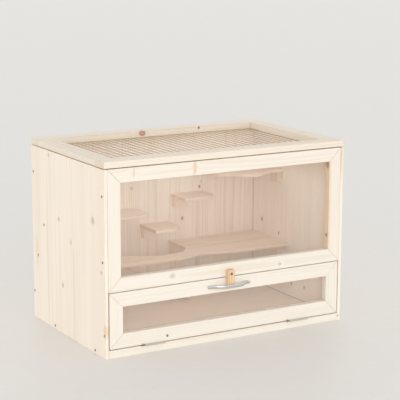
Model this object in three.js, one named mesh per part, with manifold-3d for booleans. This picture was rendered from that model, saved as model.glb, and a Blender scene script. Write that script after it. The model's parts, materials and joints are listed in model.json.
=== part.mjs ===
// Wooden hamster cage: a pine box with an acrylic front window, a drop-down
// acrylic door held by a turn button, a hinged wire mesh lid, and a platform,
// ramp and shelves inside. Millimetres, +X right, +Y to the back, +Z up.
import * as THREE from 'three';
import { mergeVertices } from 'three/addons/utils/BufferGeometryUtils.js';
import Module from 'manifold-3d';

const wasm = await Module();
wasm.setup();

// ---- driving dimensions ----
const WIDTH = 800;
const DEPTH = 500;
const HEIGHT = 560;
const BOARD = 10;            // panels, shelves, platform and ramp
const FRAME = 20;            // thickness of the window and door frames
const LID = 19;              // thickness of the lid rails
const LID_RAIL = 50;         // width of the lid rails
const WINDOW_STOCK = 40;     // width of the window frame members
const DOOR_STOCK = 42;       // width of the door frame members
const WINDOW_BOTTOM = 190;
const DOOR_TOP = 188;
const DOOR_SIDE_GAP = 3;
const BASE_RAIL = 23.4;      // height of the rail below the door
const FLOOR_TOP = 14;
const PANE = 2;
const PANE_LAP = 10;         // how far a pane reaches behind its frame
const FIT = 0.3;             // gap between pieces that touch

const HINGE_LENGTH = 66;
const HINGE_GAP = 2.5;       // space between two hinged members
const HINGE_OFFSET = 3.3;    // pin centre in front of the wood's face
const HINGE_CENTRE = 245;    // distance of each hinge from the middle
const BARREL = 2.8;          // radius of the hinge knuckles
const BORE = 1.4;
const PIN = 1.1;
const LEAF = 0.8;
const LEAF_DEPTH = 13;
const KNUCKLES = 5;

const HANDLE_LENGTH = 144;
const HANDLE_HEIGHT = 165;   // centre of the handle above the base
const HANDLE_REACH = 23.7;   // how far the bow stands off the door
const HANDLE_STRAP = 3.5;
const HANDLE_WIDTH = 10;
const HANDLE_FOOT = 15;

const BUTTON_WIDTH = 22;
const BUTTON_LENGTH = 50;
const BUTTON_THICK = 15;
const BUTTON_PIVOT = 200.5;  // height of the turn button's screw
const SCREW_HOLE = 1.8;
const SCREW_SHANK = 1.5;

const PLATFORM_TOP = 190;
const PLATFORM_FRONT = 18;   // y of the platform's straight front edge
const WELL_LEFT = -205;      // the opening that the ramp comes up through
const WELL_RIGHT = 66;
const WELL_FRONT = 120;
const RAMP_FOOT = 88;        // x of the ramp's lower end
const RAMP_FRONT = 127;
const RAMP_WIDTH = 75;
const RAMP_GROOVES = 8;
const BLOCK = { long: 45, thick: 20, tall: 33 };

const BODY_TOP = HEIGHT - LID - HINGE_GAP;
const HALF_W = WIDTH / 2;
const HALF_D = DEPTH / 2;
const INSIDE_X = HALF_W - BOARD - FIT;
const INSIDE_BACK = HALF_D - BOARD - FIT;
const FRAME_BACK = -HALF_D + FRAME;
const DOOR_BOTTOM = BASE_RAIL + HINGE_GAP;

// ---- materials ----
const finish = (color, roughness, metalness = 0) =>
  new THREE.MeshStandardMaterial({ color, roughness, metalness });
const pineFrame = () => finish(0xf0e2c8, 0.62);
const pinePanel = () => finish(0xe8d2ac, 0.66);
const buttonWood = () => finish(0xc98a4b, 0.55);
const chrome = () => finish(0xb9bcc0, 0.22, 1);
const zinc = () => finish(0x9a9690, 0.4, 1);
const wire = () => finish(0x8e8b84, 0.45, 1);
const acrylic = () => {
  const material = finish(0xe9dcd8, 0.06);
  material.transparent = true;
  material.opacity = 0.25;
  return material;
};

// ---- helpers ----
const cage = new THREE.Group();

function add(name, geometry, material, x = 0, y = 0, z = 0) {
  const mesh = new THREE.Mesh(geometry, material);
  mesh.name = name;
  mesh.position.set(x, y, z);
  cage.add(mesh);
  return mesh;
}

// A plain board between two corners.
function board(name, [x0, x1], [y0, y1], [z0, z1], material) {
  const geometry = new THREE.BoxGeometry(x1 - x0, y1 - y0, z1 - z0);
  return add(name, geometry, material, (x0 + x1) / 2, (y0 + y1) / 2, (z0 + z1) / 2);
}

// An outline drawn on the front (x, z), as thick as depth, with its rear face at y = back.
function upright(outline, depth, back) {
  const geometry = new THREE.ExtrudeGeometry(outline, { depth, bevelEnabled: false });
  geometry.rotateX(Math.PI / 2);
  geometry.translate(0, back, 0);
  return geometry;
}

function polygon(points) {
  return new THREE.Shape(points.map(([x, y]) => new THREE.Vector2(x, y)));
}

// A closed geometry as a solid for cutting and joining, and back again.
function toSolid(geometry) {
  const bare = geometry.clone();
  bare.deleteAttribute('normal');
  bare.deleteAttribute('uv');
  const merged = mergeVertices(bare, 1e-4);
  const mesh = new wasm.Mesh({
    numProp: 3,
    vertProperties: new Float32Array(merged.attributes.position.array),
    triVerts: new Uint32Array(merged.index.array),
  });
  return new wasm.Manifold(mesh);
}

function toGeometry(solid) {
  const mesh = solid.getMesh();
  const geometry = new THREE.BufferGeometry();
  const corners = new THREE.BufferAttribute(new Float32Array(mesh.vertProperties), 3);
  geometry.setAttribute('position', corners);
  geometry.setIndex(new THREE.BufferAttribute(new Uint32Array(mesh.triVerts), 1));
  geometry.computeVertexNormals();
  return geometry;
}

// A rod along Y or X, for holes and shanks.
function rodY(radius, x, y0, y1, z, sides = 12) {
  const geometry = new THREE.CylinderGeometry(radius, radius, y1 - y0, sides);
  geometry.translate(x, (y0 + y1) / 2, z);
  return geometry;
}

function rodX(radius, x0, x1, y, z, sides = 12) {
  const geometry = new THREE.CylinderGeometry(radius, radius, x1 - x0, sides);
  geometry.rotateZ(Math.PI / 2);
  geometry.translate((x0 + x1) / 2, y, z);
  return geometry;
}

// ---- carcass ----
function carcass() {
  const full = [0, BODY_TOP];
  const sideY = [-HALF_D, HALF_D];
  board('side_panel_left', [-HALF_W, -HALF_W + BOARD], sideY, full, pinePanel());
  board('side_panel_right', [HALF_W - BOARD, HALF_W], sideY, full, pinePanel());
  const across = [-INSIDE_X, INSIDE_X];
  board('back_panel', across, [HALF_D - BOARD, HALF_D], full, pinePanel());
  const floorY = [FRAME_BACK + FIT, INSIDE_BACK];
  board('floor_panel', across, floorY, [FLOOR_TOP - BOARD, FLOOR_TOP], pinePanel());
  board('base_rail', across, [-HALF_D, FRAME_BACK], [0, BASE_RAIL], pineFrame());
}

// Four members with mitred corners round an opening.
function mitredFrame(prefix, halfX, z0, z1, stock, holes = {}) {
  const x0 = -halfX;
  const x1 = halfX;
  const mitre = FIT * Math.SQRT2;
  const low = z0 + mitre;
  const high = z1 - mitre;
  const members = {
    bottom_rail: [[x0, z0], [x1, z0], [x1 - stock, z0 + stock], [x0 + stock, z0 + stock]],
    top_rail: [[x0, z1], [x1, z1], [x1 - stock, z1 - stock], [x0 + stock, z1 - stock]],
    left_stile: [[x0, low], [x0, high], [x0 + stock, high - stock], [x0 + stock, low + stock]],
    right_stile: [[x1, low], [x1, high], [x1 - stock, high - stock], [x1 - stock, low + stock]],
  };
  for (const [member, corners] of Object.entries(members)) {
    let geometry = upright(polygon(corners), FRAME, FRAME_BACK);
    for (const [x, z] of holes[member] ?? []) {
      const hole = rodY(SCREW_HOLE, x, -HALF_D - 1, FRAME_BACK + 1, z);
      geometry = toGeometry(toSolid(geometry).subtract(toSolid(hole)));
    }
    add(`${prefix}_${member}`, geometry, pineFrame());
  }
}

// The pane lies against the back of its frame.
function pane(name, halfX, z0, z1, stock) {
  const inset = stock - PANE_LAP;
  const x = halfX - inset;
  const y = FRAME_BACK + FIT;
  board(name, [-x, x], [y, y + PANE], [z0 + inset, z1 - inset], acrylic());
}

function upperWindow() {
  const holes = { bottom_rail: [[0, BUTTON_PIVOT]] };
  mitredFrame('window', INSIDE_X, WINDOW_BOTTOM, BODY_TOP, WINDOW_STOCK, holes);
  pane('window_pane', INSIDE_X, WINDOW_BOTTOM, BODY_TOP, WINDOW_STOCK);
}

const DOOR_HALF = HALF_W - BOARD - DOOR_SIDE_GAP;
const FOOT_X = HANDLE_LENGTH / 2 - HANDLE_FOOT / 2;

function lowerDoor() {
  const holes = { top_rail: [[-FOOT_X, HANDLE_HEIGHT], [FOOT_X, HANDLE_HEIGHT]] };
  mitredFrame('door', DOOR_HALF, DOOR_BOTTOM, DOOR_TOP, DOOR_STOCK, holes);
  pane('door_pane', DOOR_HALF, DOOR_BOTTOM, DOOR_TOP, DOOR_STOCK);
}

// A raised-head screw driven from the front; y = seat is the head's underside.
function screw(name, x, z, seat, head, length) {
  const headThick = head * 0.5;
  const profile = [
    new THREE.Vector2(0, 0),
    new THREE.Vector2(SCREW_SHANK, 0),
    new THREE.Vector2(SCREW_SHANK, length),
    new THREE.Vector2(head, length),
    new THREE.Vector2(head, length + headThick * 0.35),
    new THREE.Vector2(head * 0.75, length + headThick * 0.8),
    new THREE.Vector2(head * 0.35, length + headThick),
    new THREE.Vector2(0, length + headThick),
  ];
  const geometry = new THREE.LatheGeometry(profile, 12);
  geometry.rotateX(Math.PI);
  geometry.translate(x, seat + length, z);
  add(name, geometry, zinc());
}

// A bow handle: a strap with two flat feet and one long arch between them.
function handle() {
  const face = -HALF_D - FIT;
  const half = HANDLE_LENGTH / 2;
  const rise = half - HANDLE_FOOT;
  const crown = -HALF_D - HANDLE_REACH;
  const outline = new THREE.Shape();
  outline.moveTo(-half, face);
  outline.lineTo(-half, face - HANDLE_STRAP);
  outline.lineTo(-rise, face - HANDLE_STRAP);
  outline.bezierCurveTo(-rise * 0.75, crown, -rise * 0.4, crown, 0, crown);
  outline.bezierCurveTo(rise * 0.4, crown, rise * 0.75, crown, rise, face - HANDLE_STRAP);
  outline.lineTo(half, face - HANDLE_STRAP);
  outline.lineTo(half, face);
  outline.lineTo(rise - HANDLE_STRAP * 0.6, face);
  const inner = crown + HANDLE_STRAP;
  outline.bezierCurveTo(rise * 0.68, inner, rise * 0.4, inner, 0, inner);
  outline.bezierCurveTo(-rise * 0.4, inner, -rise * 0.68, inner, -rise + HANDLE_STRAP * 0.6, face);
  const options = { depth: HANDLE_WIDTH, bevelEnabled: false, curveSegments: 10 };
  const strap = new THREE.ExtrudeGeometry(outline, options);
  strap.translate(0, 0, HANDLE_HEIGHT - HANDLE_WIDTH / 2);
  let solid = toSolid(strap);
  for (const x of [-FOOT_X, FOOT_X]) {
    solid = solid.subtract(toSolid(rodY(SCREW_HOLE, x, crown, face + 1, HANDLE_HEIGHT)));
  }
  add('handle_bow', toGeometry(solid), chrome());
  const seat = face - HANDLE_STRAP - FIT;
  screw('handle_screw_left', -FOOT_X, HANDLE_HEIGHT, seat, 3.4, 18);
  screw('handle_screw_right', FOOT_X, HANDLE_HEIGHT, seat, 3.4, 18);
}

// The turn button hangs from its screw and laps over the door's top rail.
function turnButton() {
  const above = BUTTON_WIDTH / 2 + 0.5;
  const top = BUTTON_PIVOT + above;
  const half = BUTTON_WIDTH / 2;
  const corner = 2;
  const outline = polygon([
    [-half + corner, top], [half - corner, top], [half, top - corner],
    [half, top - BUTTON_LENGTH + corner], [half - corner, top - BUTTON_LENGTH],
    [-half + corner, top - BUTTON_LENGTH], [-half, top - BUTTON_LENGTH + corner],
    [-half, top - corner],
  ]);
  const back = -HALF_D - FIT;
  const block = toSolid(upright(outline, BUTTON_THICK, back));
  const hole = toSolid(rodY(SCREW_HOLE, 0, back - BUTTON_THICK - 1, back + 1, BUTTON_PIVOT));
  add('turn_button', toGeometry(block.subtract(hole)), buttonWood());
  screw('turn_button_screw', 0, BUTTON_PIVOT, back - BUTTON_THICK - FIT, 4, 32);
}

// ---- hinges ----
// One leaf: a plate in the gap with knuckles round the pin. side is 1 where the
// wood lies behind the pin and -1 where it lies in front; level is 1 for the
// upper leaf and -1 for the lower one.
function hingeLeaf(centre, pinY, pinZ, side, level) {
  const knuckle = HINGE_LENGTH / KNUCKLES;
  const plateZ = pinZ + level * (LEAF / 2 + FIT / 2);
  const slab = (x0, x1, u0, u1) => {
    const geometry = new THREE.BoxGeometry(x1 - x0, u1 - u0, LEAF);
    geometry.translate((x0 + x1) / 2, pinY + (side * (u0 + u1)) / 2, plateZ);
    return toSolid(geometry);
  };
  const left = centre - HINGE_LENGTH / 2;
  let leaf = slab(left, left + HINGE_LENGTH, BARREL + FIT, LEAF_DEPTH);
  for (let i = level > 0 ? 1 : 0; i < KNUCKLES; i += 2) {
    const x0 = left + i * knuckle + FIT / 2;
    const x1 = left + (i + 1) * knuckle - FIT / 2;
    const barrel = toSolid(rodX(BARREL, x0, x1, pinY, pinZ));
    leaf = leaf.add(barrel).add(slab(x0, x1, BARREL - 1, BARREL + 1));
  }
  const bore = toSolid(rodX(BORE, left - 1, left + HINGE_LENGTH + 1, pinY, pinZ));
  return toGeometry(leaf.subtract(bore));
}

// The pin has a small head at each end.
function hingePin(centre, pinY, pinZ) {
  const head = 0.8;
  const half = HINGE_LENGTH / 2 + FIT;
  const profile = [
    [0, -half - head], [2, -half - head], [2, -half], [PIN, -half],
    [PIN, half], [2, half], [2, half + head], [0, half + head],
  ].map(([r, h]) => new THREE.Vector2(r, h));
  const geometry = new THREE.LatheGeometry(profile, 12);
  geometry.rotateZ(-Math.PI / 2);
  geometry.translate(centre, pinY, pinZ);
  return geometry;
}

function hingePair(prefix, lowerLeaf, upperLeaf, pinY, pinZ, side) {
  for (const [name, centre] of [['left', -HINGE_CENTRE], ['right', HINGE_CENTRE]]) {
    const base = `${prefix}_${name}`;
    add(`${base}_${lowerLeaf}`, hingeLeaf(centre, pinY, pinZ, side, -1), zinc());
    add(`${base}_${upperLeaf}`, hingeLeaf(centre, pinY, pinZ, side, 1), zinc());
    add(`${base}_pin`, hingePin(centre, pinY, pinZ), zinc());
  }
}

function hinges() {
  const doorPin = BASE_RAIL + HINGE_GAP / 2;
  const lidPin = BODY_TOP + HINGE_GAP / 2;
  hingePair('door_hinge', 'base_leaf', 'door_leaf', -HALF_D - HINGE_OFFSET, doorPin, 1);
  hingePair('lid_hinge', 'body_leaf', 'lid_leaf', HALF_D + HINGE_OFFSET, lidPin, -1);
}

// ---- lid ----
function lid() {
  const z = [HEIGHT - LID, HEIGHT];
  const inner = HALF_D - LID_RAIL;
  const sideY = [-inner + FIT, inner - FIT];
  board('lid_front_rail', [-HALF_W, HALF_W], [-HALF_D, -inner], z, pineFrame());
  board('lid_back_rail', [-HALF_W, HALF_W], [inner, HALF_D], z, pineFrame());
  board('lid_left_rail', [-HALF_W, -HALF_W + LID_RAIL], sideY, z, pineFrame());
  board('lid_right_rail', [HALF_W - LID_RAIL, HALF_W], sideY, z, pineFrame());
}

// A coarse lattice that stands for the fine wire mesh below the lid's rails:
// bars along X with bars along Y welded on top of them.
function lidMesh() {
  const lap = 11;
  const bar = 2;
  const thick = 0.6;
  const columns = 12;
  const rows = 7;
  const halfX = HALF_W - LID_RAIL + lap;
  const halfY = HALF_D - LID_RAIL + lap;
  const spread = (half, i, count) => -half + bar + (i * 2 * (half - bar)) / count;
  const barSolid = (width, depth, x, y, z) => {
    const geometry = new THREE.BoxGeometry(width, depth, thick);
    geometry.translate(x, y, z);
    return toSolid(geometry);
  };
  let lattice = barSolid(2 * halfX, bar, 0, spread(halfY, 0, rows), -0.2);
  for (let j = 1; j <= rows; j += 1) {
    lattice = lattice.add(barSolid(2 * halfX, bar, 0, spread(halfY, j, rows), -0.2));
  }
  for (let i = 0; i <= columns; i += 1) {
    lattice = lattice.add(barSolid(bar, 2 * halfY, spread(halfX, i, columns), 0, 0.2));
  }
  add('lid_mesh', toGeometry(lattice), wire(), 0, 0, HEIGHT - LID - FIT - 0.5);
}

// ---- platform, ramp and shelves ----
function flatBoard(name, outline, top) {
  const options = { depth: BOARD, bevelEnabled: false, curveSegments: 8 };
  add(name, new THREE.ExtrudeGeometry(outline, options), pinePanel(), 0, 0, top - BOARD);
}

// A support block on the back wall (its long side along X) below a board.
function backBlock(name, x, boardTop) {
  const z = boardTop - BOARD - FIT;
  const y = [INSIDE_BACK - BLOCK.thick, INSIDE_BACK];
  board(name, [x, x + BLOCK.long], y, [z - BLOCK.tall, z], pineFrame());
}

// A support block on a side wall (its long side along Y) below a board.
function sideBlock(name, side, y, boardTop) {
  const z = boardTop - BOARD - FIT;
  const wall = side * INSIDE_X;
  const x = [wall, wall - side * BLOCK.thick].sort((a, b) => a - b);
  board(name, x, [y, y + BLOCK.long], [z - BLOCK.tall, z], pineFrame());
}

// The platform reaches from wall to wall. Its front edge has one shallow wave,
// and the well behind its narrow waist lets the ramp through.
function platform() {
  const front = PLATFORM_FRONT;
  const waveCrest = 42;
  const waist = 69;
  const outline = new THREE.Shape();
  outline.moveTo(-INSIDE_X, front);
  outline.lineTo(-20, front);
  outline.bezierCurveTo(20, front, 35, waveCrest, 75, waveCrest);
  outline.bezierCurveTo(125, waveCrest, 160, front, 230, front);
  outline.lineTo(INSIDE_X, front);
  outline.lineTo(INSIDE_X, INSIDE_BACK);
  outline.lineTo(WELL_RIGHT, INSIDE_BACK);
  outline.lineTo(WELL_RIGHT, 140);
  outline.bezierCurveTo(WELL_RIGHT, 95, 20, waist, -38, waist);
  outline.bezierCurveTo(-95, waist, -115, WELL_FRONT, -180, WELL_FRONT);
  outline.lineTo(WELL_LEFT + 4, WELL_FRONT);
  outline.lineTo(WELL_LEFT, WELL_FRONT + 4);
  outline.lineTo(WELL_LEFT, INSIDE_BACK);
  outline.lineTo(-INSIDE_X, INSIDE_BACK);
  flatBoard('platform_board', outline, PLATFORM_TOP);
  backBlock('platform_block_back', WELL_RIGHT + 6, PLATFORM_TOP);
  sideBlock('platform_block_left', -1, 60, PLATFORM_TOP);
  sideBlock('platform_block_right', 1, 60, PLATFORM_TOP);
}

// A straight plank from the floor up to the well's left edge, with cross grooves
// cut into its upper face for grip.
function ramp() {
  const top = [WELL_LEFT + FIT, PLATFORM_TOP];
  const slope = Math.atan2(PLATFORM_TOP - FLOOR_TOP - BOARD, RAMP_FOOT - WELL_LEFT);
  const endThick = BOARD / Math.cos(slope);
  const foot = [RAMP_FOOT, FLOOR_TOP + FIT + endThick];
  const run = foot[0] - top[0];
  const fall = foot[1] - top[1];
  const point = (t, sink) => [top[0] + run * t, top[1] + fall * t - sink];
  const groove = 0.012; // width of a groove as a share of the ramp's length
  const depth = 2.2;
  const corners = [point(0, 0)];
  for (let i = 1; i <= RAMP_GROOVES; i += 1) {
    const t = i / (RAMP_GROOVES + 1);
    corners.push(point(t - groove / 2, 0), point(t - groove / 2, depth));
    corners.push(point(t + groove / 2, depth), point(t + groove / 2, 0));
  }
  corners.push(point(1, 0), point(1, endThick), point(0, endThick));
  add('ramp', upright(polygon(corners), RAMP_WIDTH, RAMP_FRONT + RAMP_WIDTH), pinePanel());
}

// A step shelf on the back wall with one rounded front corner on the right.
function stepShelf(name, x0, x1, front, top) {
  const round = 36;
  const outline = new THREE.Shape();
  outline.moveTo(x0, INSIDE_BACK);
  outline.lineTo(x0, front);
  outline.lineTo(x1 - round, front);
  outline.absarc(x1 - round, front + round, round, -Math.PI / 2, 0, false);
  outline.lineTo(x1, INSIDE_BACK);
  flatBoard(name, outline, top);
  backBlock(`${name}_block`, x0 + 5, top);
}

// The corner shelf fills the back right corner; its front edge bulges once.
function cornerShelf() {
  const top = 424;
  const left = 155;
  const outline = new THREE.Shape();
  outline.moveTo(INSIDE_X, INSIDE_BACK);
  outline.lineTo(left, INSIDE_BACK);
  outline.lineTo(left, 115);
  outline.quadraticCurveTo(left, 80, left + 40, 78);
  outline.bezierCurveTo(215, 76, 225, 30, 262, 30);
  outline.bezierCurveTo(300, 30, 310, 62, 350, 62);
  outline.lineTo(INSIDE_X, 62);
  flatBoard('corner_shelf', outline, top);
  sideBlock('corner_shelf_block', 1, 64, top);
}

function inside() {
  platform();
  ramp();
  stepShelf('low_shelf', -36, 62, 130, 254);
  stepShelf('left_shelf', -165, -50, 128, 309);
  stepShelf('middle_shelf', 77, 195, 146, 342);
  cornerShelf();
}

carcass();
upperWindow();
lowerDoor();
handle();
turnButton();
hinges();
lid();
lidMesh();
inside();

// The origin is below the middle of the whole outline, handle and hinges included.
const FRONT_REACH = HALF_D + HANDLE_REACH;
const BACK_REACH = HALF_D + HINGE_OFFSET + BARREL;
cage.position.y = (FRONT_REACH - BACK_REACH) / 2;

export default cage;
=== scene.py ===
"""The looks of a wooden hamster cage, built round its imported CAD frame.

Metres, in the row frame: +X right, +Y to the back, +Z up. Every wooden node is stood
for by a softened copy of itself with its own grain, wide boards by copies glued up from
staves, the coarse lattice by a real wire mesh, and the metal parts by smooth ones. The
two clear panes keep their CAD meshes.
"""
import json
import math
import random

import bmesh
import bpy
from mathutils import Matrix, Vector


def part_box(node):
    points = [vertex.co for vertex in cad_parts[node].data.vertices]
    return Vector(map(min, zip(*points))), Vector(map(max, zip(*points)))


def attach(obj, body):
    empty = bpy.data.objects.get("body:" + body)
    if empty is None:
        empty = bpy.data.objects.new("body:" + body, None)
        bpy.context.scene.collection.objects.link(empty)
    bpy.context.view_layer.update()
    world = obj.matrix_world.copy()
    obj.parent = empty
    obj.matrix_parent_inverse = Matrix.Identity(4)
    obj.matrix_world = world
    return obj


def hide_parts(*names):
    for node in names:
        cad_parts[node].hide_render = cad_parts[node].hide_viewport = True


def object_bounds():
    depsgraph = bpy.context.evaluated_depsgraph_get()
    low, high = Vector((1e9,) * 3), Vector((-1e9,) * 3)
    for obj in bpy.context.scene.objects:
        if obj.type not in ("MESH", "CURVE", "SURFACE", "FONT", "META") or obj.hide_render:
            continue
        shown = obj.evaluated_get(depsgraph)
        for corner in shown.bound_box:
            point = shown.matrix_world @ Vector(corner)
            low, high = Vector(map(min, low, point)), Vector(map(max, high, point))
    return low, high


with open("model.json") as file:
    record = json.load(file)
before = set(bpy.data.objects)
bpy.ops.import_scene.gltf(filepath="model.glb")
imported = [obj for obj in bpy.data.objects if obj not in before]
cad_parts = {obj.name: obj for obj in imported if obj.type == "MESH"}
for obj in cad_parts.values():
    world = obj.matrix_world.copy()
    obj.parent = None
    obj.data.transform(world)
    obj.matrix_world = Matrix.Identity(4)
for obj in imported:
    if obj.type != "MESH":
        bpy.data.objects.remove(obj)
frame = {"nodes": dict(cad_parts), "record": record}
cad_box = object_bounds()

MM = 0.001
RNG = random.Random(41)
BODY_OF = {
    node: body
    for body, names in frame["record"]["behaviour"]["bodies"].items()
    for node in names
}
SIDE_LOW, SIDE_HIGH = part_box("side_panel_left")
MIDDLE_Y = (SIDE_LOW.y + SIDE_HIGH.y) / 2
AXES = {"x": Vector((1, 0, 0)), "y": Vector((0, 1, 0)), "z": Vector((0, 0, 1))}


def place(x, y, z):
    """A point given in millimetres from the middle of the box's floor plan, at height z."""
    return Vector((x * MM, y * MM + MIDDLE_Y, z * MM))


# ---- shader graphs ----
class Graph:
    """A material's node tree, with one short call per node."""

    def __init__(self, name):
        self.material = bpy.data.materials.new(name)
        self.material.use_nodes = True
        self.nodes = self.material.node_tree.nodes
        self.links = self.material.node_tree.links
        self.shader = self.nodes["Principled BSDF"]

    def put(self, socket, value):
        if isinstance(value, bpy.types.NodeSocket):
            self.links.new(value, socket)
        else:
            socket.default_value = value

    def add(self, kind, settings=None, inputs=None):
        node = self.nodes.new("ShaderNode" + kind)
        for key, value in (settings or {}).items():
            setattr(node, key, value)
        for key, value in (inputs or {}).items():
            self.put(node.inputs[key], value)
        return node

    def math(self, operation, *values, clamp=False):
        node = self.add("Math", {"operation": operation, "use_clamp": clamp})
        for socket, value in zip(node.inputs, values):
            self.put(socket, value)
        return node.outputs[0]

    def vector(self, operation, first, second=None):
        node = self.add("VectorMath", {"operation": operation})
        self.put(node.inputs[0], first)
        if second is not None:
            self.put(node.inputs[1], second)
        return node.outputs["Value" if operation == "LENGTH" else "Vector"]

    def noise(self, vector, stretch, detail=2.0, distortion=0.0):
        """Noise from 0 to 1 with stretch cycles per metre along each axis."""
        inputs = {
            "Vector": self.vector("MULTIPLY", vector, stretch),
            "Scale": 1.0,
            "Detail": detail,
            "Distortion": distortion,
        }
        return self.add("TexNoise", inputs=inputs).outputs["Fac"]

    def span(self, value, low, high, out_low=0.0, out_high=1.0):
        """value from low..high mapped smoothly to out_low..out_high."""
        inputs = {
            "Value": value, "From Min": low, "From Max": high,
            "To Min": out_low, "To Max": out_high,
        }
        return self.add("MapRange", {"interpolation_type": "SMOOTHSTEP"}, inputs).outputs["Result"]

    def mix(self, factor, first, second, blend="MIX"):
        """Two colours mixed; in this mode the node's colour sockets are inputs 6 and 7."""
        node = self.add("Mix", {"data_type": "RGBA", "blend_type": blend})
        for index, value in ((0, factor), (6, first), (7, second)):
            self.put(node.inputs[index], value)
        return node.outputs[2]

    def ramp(self, factor, stops):
        node = self.add("ValToRGB", inputs={"Fac": factor})
        elements = node.color_ramp.elements
        while len(elements) < len(stops):
            elements.new(0.5)
        for element, (position, shade) in zip(elements, stops):
            element.position = position
            element.color = (shade, shade, shade, 1)
        return node.outputs["Color"]

    def bump(self, height, distance, strength):
        inputs = {"Height": height, "Distance": distance, "Strength": strength}
        return self.add("Bump", inputs=inputs).outputs["Normal"]

    def finish(self, **sockets):
        """Connects the shader's inputs, with _ for the spaces in their names."""
        for key, value in sockets.items():
            self.put(self.shader.inputs[key.replace("_", " ")], value)
        return self.material


def colour(red, green, blue):
    return (red, green, blue, 1.0)


# ---- wood ----
# A kind of mark: its colours from the middle outwards, how far the growth rings bulge round it
# as a share of its size, and how soft its outline is.
KNOT = {
    "core": colour(0.40, 0.23, 0.12), "rim": colour(0.20, 0.10, 0.05),
    "halo": colour(0.78, 0.58, 0.38), "bulge": 1.0, "soft": 0.25,
}
RED_KNOT = {**KNOT, "core": colour(0.42, 0.16, 0.08), "rim": colour(0.20, 0.07, 0.03)}
PALE_KNOT = {
    "core": colour(0.55, 0.41, 0.26), "rim": colour(0.45, 0.32, 0.19),
    "halo": colour(0.78, 0.66, 0.50), "bulge": 1.0, "soft": 0.6,
}
# Painted shade: a dark soft line in an inner corner of the box.
CORNER_SHADE = {
    "core": colour(0.34, 0.24, 0.17), "rim": colour(0.30, 0.20, 0.14),
    "halo": colour(0.70, 0.56, 0.44), "bulge": 0.0, "soft": 0.3,
}
PAINTED_SHADE_BAND = {     # painted shade: the shaded band high up under the lid, and the shade on the corner shelf's block
    "core": colour(0.66, 0.50, 0.36), "rim": colour(0.66, 0.50, 0.36),
    "halo": colour(0.80, 0.66, 0.52), "bulge": 0.0, "soft": 0.9,
}
DOT = {
    "core": colour(0.20, 0.15, 0.10), "rim": colour(0.12, 0.08, 0.05),
    "halo": colour(0.62, 0.50, 0.38), "bulge": 0.3, "soft": 0.35,
}
SMUDGE = {
    "core": colour(0.56, 0.47, 0.36), "rim": colour(0.56, 0.47, 0.36),
    "halo": colour(0.70, 0.61, 0.50), "bulge": 0.4, "soft": 0.9,
}
RESIN = {
    "core": colour(0.80, 0.52, 0.28), "rim": colour(0.76, 0.46, 0.22),
    "halo": colour(0.82, 0.62, 0.42), "bulge": 0.6, "soft": 0.8,
}


class Mark:
    """One mark on a board: its kind, its middle, its half size along each axis in millimetres,
    and how strongly it shows."""

    def __init__(self, kind, point, size, strength=1.0):
        self.kind = kind
        self.point = point
        self.size = Vector(size) * MM
        self.strength = strength


def mark_distance(graph, where, mark, jitter):
    """0 at the mark's middle and 1 at its outline, which jitter makes uneven."""
    away = graph.vector("SUBTRACT", where, mark.point)
    scaled = graph.vector("MULTIPLY", away, [1 / s for s in mark.size])
    return graph.math("ADD", graph.vector("LENGTH", scaled), jitter)


BEND_REACH, WOBBLE_REACH = 34 * MM, 10 * MM     # how far the rings stray, slowly and quickly
RING_SPACING = 4.6 * MM
RELIEF = 0.20 * MM      # height of the late wood and the fibres
END_GRAIN_TINT = colour(0.74, 0.60, 0.45)
# Tint of the rounded edges: worn wood, and painted shade in the gaps between parts.
WORN_AND_GAP_SHADE_TINT = colour(0.70, 0.50, 0.31)


def growth_rings(graph, grain, bulges, spacing, sway):
    """Late wood from 0 to 1: thin darker lines where the board cuts the tree's rings. sway
    is how quickly they wander along the board."""
    bend = graph.noise(grain, (0.8 * sway, 3.0, 3.0), 1.0)
    wobble = graph.noise(grain, (3.5 * sway, 13.0, 13.0), 2.0)
    radius = graph.vector("LENGTH", graph.vector("MULTIPLY", grain, (0, 1, 1)))
    radius = graph.math("MULTIPLY_ADD", bend, BEND_REACH, radius)
    radius = graph.math("MULTIPLY_ADD", wobble, WOBBLE_REACH, radius)
    for bulge in bulges:
        radius = graph.math("ADD", radius, bulge)
    phase = graph.math("FRACT", graph.math("DIVIDE", radius, spacing))
    return graph.ramp(phase, [(0.0, 0.0), (0.45, 0.10), (0.86, 1.0), (1.0, 0.0)])


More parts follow.
